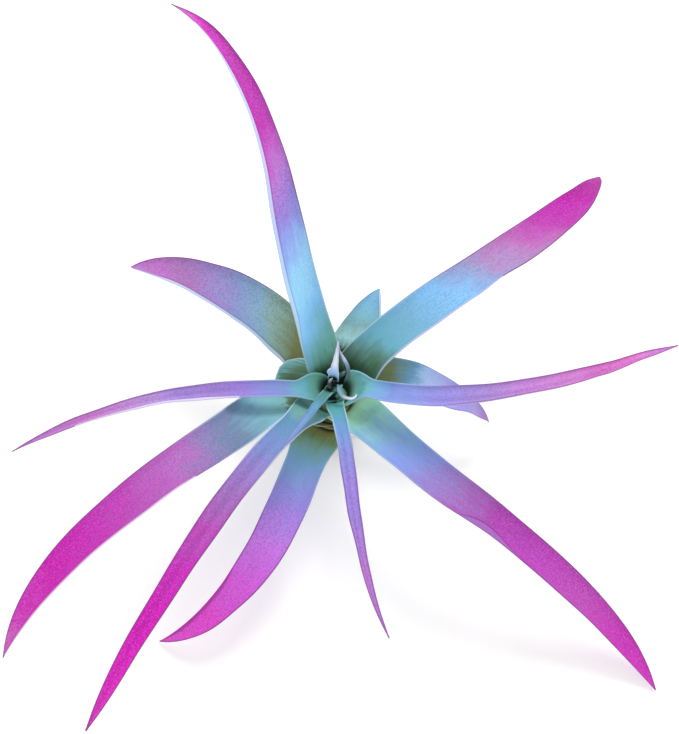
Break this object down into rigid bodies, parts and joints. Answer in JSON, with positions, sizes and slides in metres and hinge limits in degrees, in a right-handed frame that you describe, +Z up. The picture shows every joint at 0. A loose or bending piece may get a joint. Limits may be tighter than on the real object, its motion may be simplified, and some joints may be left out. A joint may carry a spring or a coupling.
{
  "type": "air plant",
  "caption": "Open rosette of long cupped tapering leaves that arch outwards from a short woody stem, teal at the heart and turning blue, violet and magenta towards the tips.",
  "frame": {"origin": "centre of the flat trimmed underside of the stem, on the surface the plant rests on", "axes": "+Z up through the heart of the rosette, -Y towards the viewer of the picture, +X to the viewer's right"},
  "size_m": [0.1952, 0.2062, 0.0978],
  "materials": {
    "stem_bark": "dry fibrous bark, matt",
    "young_leaf": "pale lilac to mint, soft and matt",
    "short_leaf": "greyish teal, finely scaled, matt",
    "slim_leaf": "teal base to blue, violet and pink tip, satin",
    "long_leaf": "teal base to blue, violet and magenta tip, finely scaled, satin"
  },
  "bodies": {
    "root": {"stem": "stem_bark", "heart_eye": "young_leaf", "heart_upright": "young_leaf", "heart_front": "young_leaf", "heart_hook": "young_leaf", "heart_fold": "young_leaf", "leaf_left": "slim_leaf", "leaf_lower": "slim_leaf", "leaf_right": "slim_leaf", "leaf_top": "long_leaf", "leaf_lower_left": "long_leaf", "leaf_lower_right": "long_leaf", "leaf_upper_right": "long_leaf", "leaf_far_left": "long_leaf", "leaf_right_behind": "short_leaf", "leaf_upper_left": "long_leaf", "leaf_lower_mid": "long_leaf", "leaf_upper_behind": "short_leaf"}
  },
  "joints": []
}
